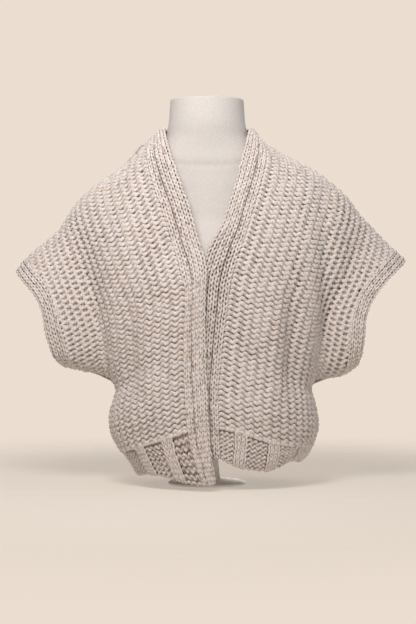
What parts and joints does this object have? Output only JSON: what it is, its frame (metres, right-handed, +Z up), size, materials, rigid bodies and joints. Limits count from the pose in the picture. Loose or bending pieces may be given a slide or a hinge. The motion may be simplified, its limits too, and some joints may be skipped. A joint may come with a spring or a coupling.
{
  "type": "cardigan on dress form",
  "caption": "Chunky marled open-front cardigan with grown-on short sleeves, banded edges and ribbed hem, worn on a limbless dress form",
  "frame": {"origin": "centre of the form's flat round base, where it stands", "axes": "+Z up; the garment's front faces -Y; +X is the wearer's left"},
  "size_m": [0.5777, 0.2412, 0.576],
  "materials": {
    "purl_knit": "bulky marled wool-blend yarn in reverse stocking stitch",
    "rib_knit": "the same yarn in a wide rib",
    "band_knit": "the same yarn in knit columns",
    "form_cover": "matt off-white woven cotton cover"
  },
  "bodies": {
    "root": {"right_front": "purl_knit", "left_front": "purl_knit", "back": "purl_knit", "right_hem": "rib_knit", "left_hem": "rib_knit", "back_hem": "rib_knit", "right_cuff": "band_knit", "left_cuff": "band_knit", "right_band": "band_knit", "left_band": "band_knit", "neck_band": "band_knit", "dress_form": "form_cover"}
  },
  "joints": []
}
